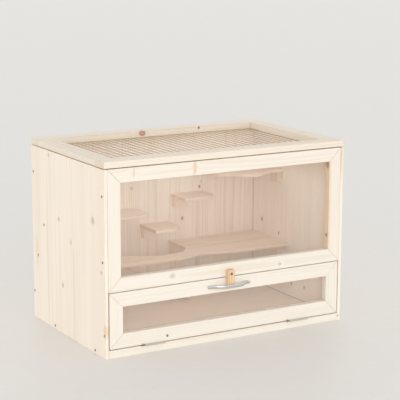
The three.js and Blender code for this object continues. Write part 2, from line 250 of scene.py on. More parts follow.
def pine(name, light, dark, marks=(), spacing=RING_SPACING, contrast=1.0, sway=1.0,
         end_grain_and_shade=0.2, roughness=0.60):
    """Planed, unfinished pine. The corner attribute grain runs along the fibres first, and
    finish holds the stave's tone, whether the face is end grain, and whether it is a rounded edge,
    which is tinted as worn wood and as painted shade in the gaps between parts."""
    graph = Graph(name)
    grain = graph.add("Attribute", {"attribute_name": "grain"}).outputs["Vector"]
    state = graph.add("Attribute", {"attribute_name": "finish"}).outputs["Vector"]
    tone, end, edge = graph.add("SeparateXYZ", inputs={"Vector": state}).outputs
    where = graph.add("TexCoord").outputs["Object"]

    jitter = graph.math("MULTIPLY_ADD", graph.noise(where, (140, 140, 140), 2.0), 0.7, -0.35)
    distances = [mark_distance(graph, where, mark, jitter) for mark in marks]
    bulges = []
    for mark, distance in zip(marks, distances):
        squared = graph.math("POWER", distance, 2.0)
        falloff = graph.math("EXPONENT", graph.math("MULTIPLY", squared, -0.22))
        height = mark.kind["bulge"] * min(mark.size) * 1.8
        bulges.append(graph.math("MULTIPLY", falloff, height))

    late = growth_rings(graph, grain, bulges, spacing, sway)
    patch = graph.noise(grain, (1.3, 17.0, 17.0), 2.0)
    band = graph.noise(grain, (2.2, 55.0, 55.0), 2.0)
    streak = graph.noise(grain, (7.0, 360.0, 360.0), 3.0)
    fibre = graph.noise(grain, (45.0, 2600.0, 2600.0), 2.0)

    strength = graph.span(patch, 0.36, 0.62, 0.12 * contrast, 0.95 * contrast)
    shade = graph.math("MULTIPLY", late, strength)
    for value, gain in ((streak, 0.65), (band, 0.75), (fibre, 0.10), (patch, 0.45)):
        centred = graph.math("SUBTRACT", value, 0.5)
        shade = graph.math("MULTIPLY_ADD", centred, gain * contrast, shade)
    shade = graph.math("MULTIPLY_ADD", tone, -0.16 * contrast, shade)
    shade = graph.math("ADD", shade, 0.12, clamp=True)
    tint = graph.mix(shade, light, dark)

    for mark, distance in zip(marks, distances):
        kind = mark.kind
        soft = kind["soft"]
        halo = graph.span(distance, 2.6, 0.9, 0.0, 0.45 * mark.strength)
        core = graph.span(distance, 1.0 + soft, 1.0 - soft, 0.0, mark.strength)
        ring = graph.math("MULTIPLY", core, graph.span(distance, 0.45, 0.95, 0.0, 0.75))
        tint = graph.mix(halo, tint, kind["halo"])
        tint = graph.mix(core, tint, kind["core"])
        tint = graph.mix(ring, tint, kind["rim"])

    tint = graph.mix(graph.math("MULTIPLY", end, end_grain_and_shade), tint, END_GRAIN_TINT, "MULTIPLY")
    # Rounded edges darkened: partly wear, partly painted shade in the gaps between parts.
    wear_and_shade = graph.span(graph.noise(where, (60, 60, 60), 3.0), 0.35, 0.75, 0.1, 0.5)
    tint = graph.mix(graph.math("MULTIPLY", edge, wear_and_shade), tint, WORN_AND_GAP_SHADE_TINT)

    relief = graph.math("MULTIPLY_ADD", late, 0.6, graph.math("MULTIPLY", streak, 0.8))
    relief = graph.math("MULTIPLY_ADD", fibre, 0.15, relief)
    normal = graph.bump(relief, RELIEF, 0.35)
    rough = graph.math("MULTIPLY_ADD", streak, 0.18, roughness - 0.09)
    rough = graph.math("MULTIPLY_ADD", late, -0.07, rough)
    graph.put(graph.shader.inputs["Specular IOR Level"], 0.32)
    return graph.finish(Base_Color=tint, Roughness=rough, Normal=normal)


# ---- mesh helpers ----
def bare_mesh(node):
    """A CAD node's mesh with its triangles merged back into flat faces."""
    bm = bmesh.new()
    bm.from_mesh(frame["nodes"][node].data)
    bmesh.ops.remove_doubles(bm, verts=bm.verts, dist=0.01 * MM)
    bmesh.ops.dissolve_limit(bm, angle_limit=math.radians(1), verts=bm.verts, edges=bm.edges)
    bmesh.ops.recalc_face_normals(bm, faces=bm.faces)
    return bm


def soften(bm, width, least_angle=math.radians(40)):
    """Rounds the edges where two faces turn by more than least_angle."""
    edges = [
        edge for edge in bm.edges
        if len(edge.link_faces) == 2 and edge.calc_face_angle(0) > least_angle
    ]
    bmesh.ops.bevel(
        bm, geom=edges, offset=width, offset_type="OFFSET", segments=2, profile=0.5,
        affect="EDGES", clamp_overlap=True,
    )


def to_object(bm, name, material):
    """A new object in the scene that holds bm, which is freed."""
    mesh = bpy.data.meshes.new(name)
    bm.to_mesh(mesh)
    bm.free()
    piece = bpy.data.objects.new(name, mesh)
    bpy.context.scene.collection.objects.link(piece)
    mesh.materials.append(material)
    return piece


def smooth(piece, angle=math.radians(38)):
    """Smooth shading that keeps flat faces flat and creases above angle sharp."""
    for polygon in piece.data.polygons:
        polygon.use_smooth = True
    piece.data.set_sharp_from_angle(angle=angle)
    piece.modifiers.new("flat_faces", "WEIGHTED_NORMAL").keep_sharp = True
    return piece


def apply_modifiers(piece):
    """Gives piece the mesh that its modifiers make."""
    graph = bpy.context.evaluated_depsgraph_get()
    mesh = bpy.data.meshes.new_from_object(piece.evaluated_get(graph))
    piece.modifiers.clear()
    piece.data = mesh


def combine(piece, other, operation):
    """Joins other to piece (UNION) or cuts it out of piece (DIFFERENCE), and removes other."""
    boolean = piece.modifiers.new("boolean", "BOOLEAN")
    boolean.operation = operation
    boolean.solver = "EXACT"
    boolean.use_self = operation == "UNION"
    boolean.object = other
    apply_modifiers(piece)
    bpy.data.objects.remove(other)


def stands_for(piece, node):
    """Puts piece on its node's body, in the node's place."""
    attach(piece, BODY_OF[node])
    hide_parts(node)


# ---- wooden pieces ----
class Staves:
    """How a board is glued up: staves of about the same width side by side, each with its own
    place in its tree and its own tone. A narrow board is a single stave."""

    JOINT = 0.35 * MM       # half width of a glue line
    JOINT_TONE = -2.6       # against -1 to 1 for a stave
    UNEVEN = 0.12           # how far a joint may stray, as a share of a stave's width

    def __init__(self, low, high, along, across, width):
        self.along = along
        self.across = across
        self.depth = along.cross(across)
        span = (high - low).dot(across)
        count = max(1, round(span / width)) if width else 1
        start = low.dot(across)
        self.cuts = [
            start + span * i / count + RNG.uniform(-self.UNEVEN, self.UNEVEN) * span / count
            for i in range(1, count)
        ]
        self.tones = [RNG.uniform(-1, 1) for _ in range(count)]
        self.shifts = [
            Vector((RNG.uniform(0, 40), RNG.uniform(-0.05, 0.05), RNG.uniform(0.02, 0.10)))
            for _ in range(count)
        ]
        edges = [start, *self.cuts, start + span]
        self.middles = [(a + b) / 2 for a, b in zip(edges, edges[1:])]
        self.base = low.dot(self.depth)

    def split(self, bm):
        """Cuts the faces along both sides of each glue line."""
        for cut in self.cuts:
            for side in (-self.JOINT, self.JOINT):
                bmesh.ops.bisect_plane(
                    bm, geom=[*bm.verts, *bm.edges, *bm.faces], dist=1e-7,
                    plane_co=self.across * (cut + side), plane_no=self.across,
                )

    def paint(self, bm, sheet):
        """Writes the grain and finish corner attributes. sheet is true for a flat board with
        an outline, whose curved sides aren't rounded edges with the worn tint and painted gap shade."""
        grain = bm.loops.layers.float_vector.new("grain")
        state = bm.loops.layers.float_vector.new("finish")
        for face in bm.faces:
            centre = face.calc_center_median().dot(self.across)
            index = sum(centre > cut for cut in self.cuts)
            joint = any(abs(centre - cut) < self.JOINT for cut in self.cuts)
            leaning = abs(face.normal.z) if sheet else max(abs(c) for c in face.normal)
            rounded_edge = 0.03 < leaning < 0.985
            end = max(0.0, abs(face.normal.dot(self.along)) - 0.4) / 0.6
            tone = self.JOINT_TONE if joint else self.tones[index]
            shift = self.shifts[index]
            for loop in face.loops:
                point = loop.vert.co
                loop[grain] = Vector((
                    point.dot(self.along) + shift.x,
                    point.dot(self.across) - self.middles[index] + shift.y,
                    point.dot(self.depth) - self.base + shift.z,
                ))
                loop[state] = Vector((tone, end, float(rounded_edge)))


def wooden(node, material, along, across, stave=None, bevel=0.9 * MM, sheet=False,
           recess=None):
    """The wooden piece that stands for a CAD node. Its fibres run along one axis and its staves,
    if it has any, lie across the other. recess is an object to cut out of it."""
    low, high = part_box(node)
    bm = bare_mesh(node)
    soften(bm, bevel)
    if recess is not None:
        rough_cut = to_object(bm, node + "_cut", material)
        combine(rough_cut, recess, "DIFFERENCE")
        bm = bmesh.new()
        bm.from_mesh(rough_cut.data)
        bpy.data.objects.remove(rough_cut)
    staves = Staves(low, high, along, across, stave)
    staves.split(bm)
    staves.paint(bm, sheet)
    stands_for(smooth(to_object(bm, node + "_wood", material)), node)


FRAME_LIGHT = colour(0.875, 0.830, 0.755)
FRAME_DARK = colour(0.780, 0.680, 0.550)
PANEL_LIGHT = colour(0.975, 0.890, 0.790)
PANEL_DARK = colour(0.820, 0.700, 0.560)
BOARD_LIGHT = colour(0.970, 0.825, 0.695)
BOARD_DARK = colour(0.860, 0.660, 0.490)
LID_LIGHT = colour(0.865, 0.800, 0.705)
LID_DARK = colour(0.780, 0.655, 0.510)
RAMP_LIGHT = colour(0.90, 0.72, 0.55)
RAMP_DARK = colour(0.76, 0.54, 0.36)
FRAME_GRAIN = {"contrast": 0.5, "sway": 0.7}
PANEL_GRAIN = {"contrast": 0.5, "sway": 0.3}
BACK_GRAIN = {"contrast": 1.0, "sway": 0.3}
RAIL_TINTS = {
    "frame": (FRAME_LIGHT, FRAME_DARK),
    "lid": (LID_LIGHT, LID_DARK),
    "block": (BOARD_LIGHT, BOARD_DARK),
}


def rail_kind(node):
    """Which of RAIL_TINTS a rail, stile or support block has."""
    if node.startswith("lid"):
        return "lid"
    return "block" if "_block" in node else "frame"


def rail_marks():
    """The marks on the rails, stiles and blocks, by node."""
    marks = {
        "window_top_rail": [
            Mark(RESIN, place(-114, -250, 521), (4.0, 9, 15), 0.6),
            Mark(RESIN, place(-308, -250, 525), (2.2, 6, 12), 0.4),
        ],
        "window_bottom_rail": [
            Mark(SMUDGE, place(-187, -250, 214), (6, 6, 5), 0.5),
            Mark(SMUDGE, place(176, -250, 205), (4.5, 6, 4), 0.55),
        ],
        "door_bottom_rail": [Mark(DOT, place(-204, -250, 41), (3, 6, 3), 1.0)],
        "lid_back_rail": [
            Mark(RED_KNOT, place(-46, 200, 553), (11, 16, 8), 0.62),
            Mark(DOT, place(157, 200, 556), (3, 5, 3.5), 1.0),
            Mark(DOT, place(353, 200, 554), (3, 5, 3), 0.9),
        ],
        "window_right_stile": [
            Mark(RESIN, place(347, -238, 360), (7, 15, 230), 0.5),
            Mark(KNOT, place(347, -240, 272), (4, 5, 6), 0.9),
            Mark(KNOT, place(347, -240, 488), (4, 10, 14), 0.5),
        ],
        "lid_right_rail": [Mark(PALE_KNOT, place(376, -60, 560), (4, 8, 5), 0.4)],
        # painted shade on the block under the corner shelf
        "corner_shelf_block": [Mark(PAINTED_SHADE_BAND, place(376, 40, 470), (40, 300, 60), 0.8)],
        "lid_front_rail": [Mark(DOT, place(-62, -232, 560), (3.5, 2, 4), 0.35)],
    }
    for side in ("left", "right"):      # painted shade beside the barrel of each door hinge
        low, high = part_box(f"door_hinge_{side}_pin")
        beside = Vector((low.x - 4 * MM, low.y, (low.z + high.z) / 2))
        for node in ("door_bottom_rail", "base_rail"):
            marks.setdefault(node, []).append(Mark(DOT, beside, (5, 8, 4), 0.9))
    return marks


def frame_rails():
    """Rails and stiles of the window, the door, the base and the lid, and the support blocks."""
    x, y, z = AXES["x"], AXES["y"], AXES["z"]
    rails = [
        "window_top_rail", "window_bottom_rail", "door_top_rail", "door_bottom_rail",
        "base_rail", "lid_front_rail", "lid_back_rail",
    ]
    stiles = ["window_left_stile", "window_right_stile", "door_left_stile", "door_right_stile"]
    lid_sides = ["lid_left_rail", "lid_right_rail"]
    back_blocks = ["low_shelf_block", "left_shelf_block", "middle_shelf_block", "platform_block_back"]
    side_blocks = ["corner_shelf_block", "platform_block_left", "platform_block_right"]
    runs = (
        (rails, x, z), (stiles, z, x), (lid_sides, y, x), (back_blocks, x, z), (side_blocks, y, z),
    )
    marks = rail_marks()
    plain = {
        kind: pine(f"pine_{kind}", *tints, **FRAME_GRAIN) for kind, tints in RAIL_TINTS.items()
    }
    for names, along, across in runs:
        for node in names:
            kind = rail_kind(node)
            material = plain[kind]
            if node in marks:
                material = pine(f"pine_{node}", *RAIL_TINTS[kind], marks[node], **FRAME_GRAIN)
            wooden(node, material, along, across)


# ---- screws ----
SCREW_RADIUS = 3.9 * MM
SCREW_SINK = 0.9 * MM       # how far a countersunk head lies below the wood
SEAT_PLAY = 1.06            # radius of a screw's seat against the screw's


def lathe(bm, profile, sides=32):
    """Turns (radius, height) pairs about Z into bm as one closed body."""
    rings = []
    for radius, height in profile:
        count = sides if radius > 0 else 1
        rings.append([
            bm.verts.new((radius * math.cos(a), radius * math.sin(a), height))
            for a in (2 * math.pi * i / count for i in range(count))
        ])
    for lower, upper in zip(rings, rings[1:]):
        for i in range(sides):
            j = (i + 1) % sides
            around = ((lower, i), (lower, j), (upper, j), (upper, i))
            corners = dict.fromkeys(ring[k % len(ring)] for ring, k in around)
            if len(corners) > 2:
                bm.faces.new(list(corners))
    bmesh.ops.recalc_face_normals(bm, faces=bm.faces)


def recess_blade(radius, depth, width, turn):
    """One of the two tapered blades that cut a cross recess, its open end above z = 0."""
    bm = bmesh.new()
    blade = bmesh.ops.create_cube(bm, size=1)["verts"]
    for vert in blade:
        reach = radius if vert.co.z > 0 else radius * 0.35
        top = depth if vert.co.z > 0 else -depth
        vert.co = Vector((vert.co.x * 2 * reach, vert.co.y * width, top))
    bmesh.ops.rotate(bm, verts=blade, cent=(0, 0, 0), matrix=Matrix.Rotation(turn, 3, "Z"))
    return to_object(bm, "recess_blade", None)


def screw_mesh(name, profile, material, recess_radius, recess_depth):
    """A screw turned about Z with its head's top near z = 0, and a cross recess cut in it."""
    bm = bmesh.new()
    lathe(bm, profile)
    screw = to_object(bm, name, material)
    for turn in (0.0, math.pi / 2):
        blade = recess_blade(recess_radius, recess_depth, recess_radius * 0.34, turn)
        combine(screw, blade, "DIFFERENCE")
    smooth(screw, math.radians(30))
    apply_modifiers(screw)
    mesh = screw.data
    bpy.data.objects.remove(screw)
    return mesh


def countersunk_screw(name, material, radius, rim, cone, shank, recess_depth):
    """A countersunk screw's mesh: a thin rim, a cone, a shank and a tip. Lengths that scale with
    the head are shares of its radius."""
    profile = [
        (0, 0), (radius * 0.96, 0), (radius, -rim), (radius * 0.5, -radius * cone),
        (radius * 0.45, -shank), (0, -shank - 1 * MM),
    ]
    return screw_mesh(name, profile, material, radius * 0.62, radius * recess_depth)


def put_screw(name, mesh, point, outward, body):
    """A screw with its head at point, facing outward, turned by a random angle."""
    screw = bpy.data.objects.new(name, mesh)
    bpy.context.scene.collection.objects.link(screw)
    turn = outward.to_track_quat("Z", "Y").to_matrix().to_4x4()
    spin = Matrix.Rotation(RNG.uniform(0, math.pi / 2), 4, "Z")
    screw.matrix_world = Matrix.Translation(point) @ turn @ spin
    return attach(screw, body)


def countersinks(points, outward, radius):
    """Cones that cut the screws' seats into a board."""
    bm = bmesh.new()
    turn = outward.to_track_quat("Z", "Y").to_matrix().to_4x4()
    deep = radius * 1.25
    for point in points:
        cone = bmesh.ops.create_cone(
            bm, cap_ends=True, segments=32, radius1=radius * 0.45, radius2=radius * 1.45,
            depth=deep,
        )["verts"]
        lift = Matrix.Translation((0, 0, radius * 0.35 - deep / 2))
        bmesh.ops.transform(bm, matrix=Matrix.Translation(point) @ turn @ lift, verts=cone)
    return to_object(bm, "countersinks", None)


# ---- panels, platform, shelves and ramp ----
SIDE_SCREWS = [(-235, 462), (-235, 276), (238, 458), (244, 84), (94, 10), (-181, 9)]   # y, z
BACK_SCREWS = [(-340, 9), (-115, 9), (115, 9), (340, 9)]    # x, z
PANEL_STAVE, FLOOR_STAVE = 72 * MM, 80 * MM
PLATFORM_STAVE, CORNER_SHELF_STAVE = 78 * MM, 70 * MM
BOARD_BEVEL, RAMP_BEVEL = 1.2 * MM, 0.4 * MM


def screwed_panel(node, material, points, outward, across, screw):
    """An upright panel of staves, with a countersunk screw at each point."""
    seats = countersinks(points, outward, SCREW_RADIUS * SEAT_PLAY)
    wooden(node, material, AXES["z"], across, stave=PANEL_STAVE, recess=seats)
    for number, point in enumerate(points, 1):
        head = point - outward * SCREW_SINK
        put_screw(f"{node}_screw_{number}", screw, head, outward, BODY_OF[node])


def panels(steel):
    """Side and back panels with their countersunk screws, and the floor."""
    screw = countersunk_screw(
        "panel_screw", steel, SCREW_RADIUS, rim=0.15 * MM, cone=0.62, shank=8 * MM, recess_depth=0.55,
    )
    left, right = (sign * cad_box[1].x / MM for sign in (-1, 1))
    rear = (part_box("back_panel")[1].y - MIDDLE_Y) / MM
    left_marks = [
        Mark(PALE_KNOT, place(left, 54, 344), (9, 4.5, 6), 0.6),
        Mark(PALE_KNOT, place(left, -176, 384), (9, 7, 9), 0.55),
        Mark(PALE_KNOT, place(left, 32, 150), (8, 4.5, 6), 0.65),
        Mark(SMUDGE, place(left, -30, 292), (6, 5, 6), 0.4),
        Mark(RESIN, place(left, 216, 215), (8, 7, 34), 0.2),
        Mark(DOT, place(left, 211, 203), (8, 4, 4), 0.6),
        Mark(DOT, place(left, -228, 246), (5, 4.5, 4), 0.35),
        Mark(DOT, place(left, 164, 306), (5, 4.5, 3), 0.7),
        Mark(PALE_KNOT, place(left, 121, 525), (5, 4, 4), 0.6),
        Mark(RESIN, place(left, -246, 82), (12, 5, 13), 0.55),
        Mark(KNOT, place(left, -244, 67), (12, 4, 4.5), 0.8),
    ]
    right_marks = [
        # Painted shade in the inner corners, at the back and along the floor.
        Mark(CORNER_SHADE, place(right - 10, rear - 10.5, 300), (6, 1.8, 400), 0.6),
        Mark(CORNER_SHADE, place(right - 10, 0, 14.5), (6, 400, 1.8), 0.9),
        # painted shade high up on the inner wall, under the lid
        Mark(PAINTED_SHADE_BAND, place(right - 11, 0, 530), (6, 320, 70), 0.8),
        Mark(KNOT, place(right - 10, 183, 237), (9, 5, 6), 0.8),
        Mark(KNOT, place(right - 10, 82, 210), (9, 4, 5), 0.7),
        Mark(DOT, place(right - 10, 4, 57), (8, 4, 5), 0.7),
        Mark(KNOT, place(right - 10, -69, 61), (9, 5, 6), 0.7),
        Mark(RESIN, place(right - 10, -196, 330), (8, 4, 40), 0.5),
        Mark(DOT, place(right - 10, -200, 268), (8, 3, 4), 0.8),
        Mark(KNOT, place(right, 110, 420), (9, 6, 9), 0.7),
        Mark(RESIN, place(right, -140, 330), (7, 4, 22), 0.7),
    ]
    back_marks = [
        # painted shade high up on the inner wall, under the lid
        Mark(PAINTED_SHADE_BAND, place(0, rear - 11, 530), (480, 6, 70), 0.35),
        Mark(DOT, place(119, rear - 10, 257), (4, 9, 5), 0.9),
        Mark(DOT, place(183, rear - 10, 356), (3.5, 9, 4.5), 1.0),
        Mark(PALE_KNOT, place(190, rear - 10, 372), (3, 9, 4), 0.6),
        Mark(PALE_KNOT, place(-65, rear - 10, 373), (4, 9, 4), 0.7),
        Mark(KNOT, place(-262, rear, 215), (6, 9, 9), 0.8),
        Mark(RESIN, place(250, rear, 180), (4, 8, 20), 0.7),
    ]
    sides = (
        ("side_panel_left", -AXES["x"], left, left_marks),
        ("side_panel_right", AXES["x"], right, right_marks),
    )
    for node, outward, face, marks in sides:
        points = [place(face, y, z) for y, z in SIDE_SCREWS]
        material = pine(f"pine_{node}", PANEL_LIGHT, PANEL_DARK, marks, **PANEL_GRAIN)
        screwed_panel(node, material, points, outward, AXES["y"], screw)
    points = [place(x, rear, z) for x, z in BACK_SCREWS]
    material = pine("pine_back_panel", PANEL_LIGHT, PANEL_DARK, back_marks, **BACK_GRAIN)
    screwed_panel("back_panel", material, points, AXES["y"], AXES["x"], screw)
    floor = pine("pine_floor", BOARD_LIGHT, BOARD_DARK, **PANEL_GRAIN)
    wooden("floor_panel", floor, AXES["x"], AXES["y"], stave=FLOOR_STAVE)


def inside_boards():
    """The platform, the shelves and the ramp, with rounded edges."""
    x, y = AXES["x"], AXES["y"]
    # The boards' and the ramp's end faces are darkened more than the rails': end grain, and painted
    # shade along the platform's edges and at the ramp's foot.
    boards = pine(
        "pine_boards", BOARD_LIGHT, BOARD_DARK, spacing=5.2 * MM, contrast=1.1, end_grain_and_shade=0.5,
    )
    plank = pine("pine_ramp", RAMP_LIGHT, RAMP_DARK, end_grain_and_shade=0.6)
    widths = {
        "platform_board": PLATFORM_STAVE, "corner_shelf": CORNER_SHELF_STAVE,
        "low_shelf": None, "left_shelf": None, "middle_shelf": None,
    }
    for node, stave in widths.items():
        wooden(node, boards, x, y, stave=stave, bevel=BOARD_BEVEL, sheet=True)
    low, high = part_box("ramp")
    slope = Vector((high.x - low.x, 0, low.z - high.z)).normalized()
    wooden("ramp", plank, slope, y, bevel=RAMP_BEVEL)


# ---- metal ----
GRIME_TINT = colour(0.30, 0.27, 0.24)
SCRATCH_RELIEF = 0.02 * MM


def metal(name, tint, roughness, grime, scratches):
    """Plated metal with fine scratches, cloudy roughness and a little dull grime."""
    graph = Graph(name)
    where = graph.add("TexCoord").outputs["Object"]
    cloud = graph.noise(where, (220, 220, 220), 4.0)
    scratch = graph.noise(where, (180, 2600, 5200), 3.0, 0.3)
    dull = graph.span(cloud, 0.5, 0.75, 0.0, grime)
    base = graph.mix(dull, tint, GRIME_TINT)
    rough = graph.math("MULTIPLY_ADD", cloud, 0.22, roughness - 0.11)
    rough = graph.math("MULTIPLY_ADD", scratch, 0.10, rough, clamp=True)
    normal = graph.bump(scratch, SCRATCH_RELIEF, scratches)
    graph.put(graph.shader.inputs["Metallic"], 1.0)
    return graph.finish(Base_Color=base, Roughness=rough, Normal=normal)


# ---- hinges ----
KNUCKLES = 5
KNUCKLE_RADIUS, KNUCKLE_BORE = 2.8 * MM, 1.4 * MM
LEAF_SHEET = 0.8 * MM       # thickness of a leaf
LEAF_FIT = 0.3 * MM         # gap between the leaves, and from a knuckle to the next
PIN_REACH = 2.2 * MM        # how much longer the pin is than the leaves
PIN_BEVEL = 0.12 * MM
LEAF_SCREW_RADIUS = 2.2 * MM
LEAF_SCREW_SINK = 0.05 * MM
LEAF_SCREW_SHARES = (-0.34, 0.34)       # places of a leaf's screws as shares of its length
ROUND_SIDES = 28
WEB = (-0.8 * MM, 1.0 * MM)     # where the web to the plate starts and ends, from a knuckle's skin


def box_between(bm, low, high):
    """Adds a box between two opposite corners to bm."""
    for vert in bmesh.ops.create_cube(bm, size=1)["verts"]:
        vert.co = Vector(a + (b - a) * (c + 0.5) for a, b, c in zip(low, high, vert.co))


def leaf_knuckle(axis, ends, inward, level, material):
    """A knuckle of rolled sheet round the pin, with the short web that joins it to its plate."""
    bm = bmesh.new()
    rings = [
        [
            bm.verts.new((x, axis.y + radius * math.cos(a), axis.z + radius * math.sin(a)))
            for a in (2 * math.pi * k / ROUND_SIDES for k in range(ROUND_SIDES))
        ]
        for x in ends for radius in (KNUCKLE_BORE, KNUCKLE_RADIUS)
    ]
    bore0, skin0, bore1, skin1 = rings
    for a, b in ((skin0, skin1), (bore1, bore0), (bore0, skin0), (skin1, bore1)):
        for k in range(ROUND_SIDES):
            j = (k + 1) % ROUND_SIDES
            bm.faces.new((a[k], a[j], b[j], b[k]))
    start, stop = (axis.y + inward * (KNUCKLE_RADIUS + reach) for reach in WEB)
    low, high = level - LEAF_SHEET / 2, level + LEAF_SHEET / 2
    box_between(bm, (ends[0], start, low), (ends[1], stop, high))
    bmesh.ops.recalc_face_normals(bm, faces=bm.faces)
    return to_object(bm, "knuckle", material)


def hinge_leaf(node, pin, zinc, upper, screw):
    """A hinge leaf: its plate in the gap, its knuckles round the pin, and two countersunk screws."""
    low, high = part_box(node)
    pin_low, pin_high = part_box(pin)
    axis = (pin_low + pin_high) / 2
    inward = 1 if high.y - axis.y > axis.y - low.y else -1
    away = 1 if upper else -1
    level = axis.z + away * (LEAF_SHEET + LEAF_FIT) / 2
    near, far = KNUCKLE_RADIUS + LEAF_FIT, max(high.y - axis.y, axis.y - low.y)
    length = pin_high.x - pin_low.x - PIN_REACH
    left = axis.x - length / 2

    bm = bmesh.new()
    corner = (left, axis.y + inward * near, level - LEAF_SHEET / 2)
    box_between(bm, corner, (left + length, axis.y + inward * far, level + LEAF_SHEET / 2))
    bmesh.ops.recalc_face_normals(bm, faces=bm.faces)
    leaf = to_object(bm, node + "_metal", zinc)
    step = length / KNUCKLES
    for i in range(1 if upper else 0, KNUCKLES, 2):
        ends = (left + i * step + LEAF_FIT / 2, left + (i + 1) * step - LEAF_FIT / 2)
        combine(leaf, leaf_knuckle(axis, ends, inward, level, zinc), "UNION")

    outward = Vector((0, 0, -away))
    middle = axis.y + inward * (near + far) / 2
    face = level - away * LEAF_SHEET / 2
    points = [Vector((axis.x + share * length, middle, face)) for share in LEAF_SCREW_SHARES]
    combine(leaf, countersinks(points, outward, LEAF_SCREW_RADIUS * SEAT_PLAY), "DIFFERENCE")
    for number, point in enumerate(points, 1):
        head = point - outward * LEAF_SCREW_SINK
        put_screw(f"{node}_screw_{number}", screw, head, outward, BODY_OF[node])
    smooth(leaf, math.radians(30))
    stands_for(leaf, node)


def hinge_pin(node, zinc):
    """The CAD pin with its sharp edges broken and its sides smooth."""
    bm = bare_mesh(node)
    soften(bm, PIN_BEVEL, math.radians(50))
    stands_for(smooth(to_object(bm, node + "_metal", zinc)), node)


def hinges(zinc):
    """The door's and the lid's butt hinges, each with two leaves and a pin."""
    screw = countersunk_screw(
        "leaf_screw", zinc, LEAF_SCREW_RADIUS, rim=0.1 * MM, cone=0.6, shank=5 * MM, recess_depth=0.5,
    )
    kinds = (("door_hinge", "base_leaf", "door_leaf"), ("lid_hinge", "body_leaf", "lid_leaf"))
    for prefix, lower, upper in kinds:
        for side in ("left", "right"):
            base = f"{prefix}_{side}"
            hinge_leaf(f"{base}_{lower}", f"{base}_pin", zinc, False, screw)
            hinge_leaf(f"{base}_{upper}", f"{base}_pin", zinc, True, screw)
            hinge_pin(f"{base}_pin", zinc)


# ---- handle and turn button ----
STRAP, FOOT = 3.5 * MM, 15 * MM     # thickness of the handle's strap, and length of each foot
FOOT_STEPS, ARCH_STEPS = 8, 26      # stations along a foot and along half of the arch
STRAP_SIDES = 20
SQUARENESS = 0.55       # 1 makes the strap's section an ellipse, and 0 a box
HANDLE_SCREWS = ("handle_screw_left", "handle_screw_right")


def bezier(points, t):
    """The point at t, from 0 to 1, of a cubic curve given by its four control points."""
    a, b, c, d = points
    s = 1 - t
    return a * s ** 3 + b * 3 * s * s * t + c * 3 * s * t * t + d * t ** 3


def strap_stations(half, face, crown):
    """Points of the strap's outer and inner side, as (x, y) from its left end to its right end.
    half is half its length, face the rail's y and crown the y of the arch's top."""
    outer_start, inner_top = face - STRAP, crown + STRAP
    rise = half - FOOT
    stations = []
    for i in range(FOOT_STEPS + 1):     # closer together where the foot's end is rounded
        share = 1 - math.cos(math.pi / 2 * i / FOOT_STEPS) if i < 5 else i / FOOT_STEPS
        x = -half + FOOT * share
        stations.append((Vector((x, outer_start)), Vector((x, face))))
    outer = [Vector(point) for point in (
        (-rise, outer_start), (-rise * 0.75, crown), (-rise * 0.4, crown), (0, crown),
    )]
    inner = [Vector(point) for point in (
        (-rise + STRAP * 0.6, face), (-rise * 0.68, inner_top), (-rise * 0.4, inner_top),
        (0, inner_top),
    )]
    for i in range(1, ARCH_STEPS + 1):
        stations.append((bezier(outer, i / ARCH_STEPS), bezier(inner, i / ARCH_STEPS)))
    mirrored = [(Vector((-a.x, a.y)), Vector((-b.x, b.y))) for a, b in reversed(stations[:-1])]
    return stations + mirrored


def squared_off(value):
    """A cosine or sine pushed outwards, so that a circle becomes a rounded box."""
    return math.copysign(abs(value) ** SQUARENESS, value)


def handle(chrome, zinc):
    """The bow handle: one drawn strap with a rounded section, flat rounded feet and a long arch."""
    low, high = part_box("handle_bow")
    half = (high.x - low.x) / 2
    face = high.y
    middle = (low.z + high.z) / 2
    half_wide = (high.z - low.z) / 2

    bm = bmesh.new()
    rings = []
    for front, back in strap_stations(half, face, low.y):
        end = min(1, (half - abs(front.x)) / half_wide)
        wide = half_wide * max(0.12, math.sqrt(max(0.0, 1 - (1 - end) ** 2)))
        ring = []
        for k in range(STRAP_SIDES):
            a = 2 * math.pi * k / STRAP_SIDES
            point = front.lerp(back, (squared_off(math.sin(a)) + 1) / 2)
            ring.append(bm.verts.new((point.x, point.y, middle + squared_off(math.cos(a)) * wide)))
        rings.append(ring)
    for lower, upper in zip(rings, rings[1:]):
        for k in range(STRAP_SIDES):
            j = (k + 1) % STRAP_SIDES
            bm.faces.new((lower[k], lower[j], upper[j], upper[k]))
    bm.faces.new(rings[0])
    bm.faces.new(list(reversed(rings[-1])))
    bmesh.ops.recalc_face_normals(bm, faces=bm.faces)
    bow = to_object(bm, "handle_bow_metal", chrome)

    holes = bmesh.new()
    turn = Matrix.Rotation(math.pi / 2, 4, "X")
    for name in HANDLE_SCREWS:
        screw_low, screw_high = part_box(name)
        centre = (screw_low + screw_high) / 2
        bmesh.ops.create_cone(
            holes, cap_ends=True, segments=24, radius1=1.8 * MM, radius2=1.8 * MM, depth=12 * MM,
            matrix=Matrix.Translation((centre.x, face, centre.z)) @ turn,
        )
    combine(bow, to_object(holes, "holes", None), "DIFFERENCE")
    smooth(bow, math.radians(45))
    stands_for(bow, "handle_bow")
    for name in HANDLE_SCREWS:
        raised_screw(name, zinc)


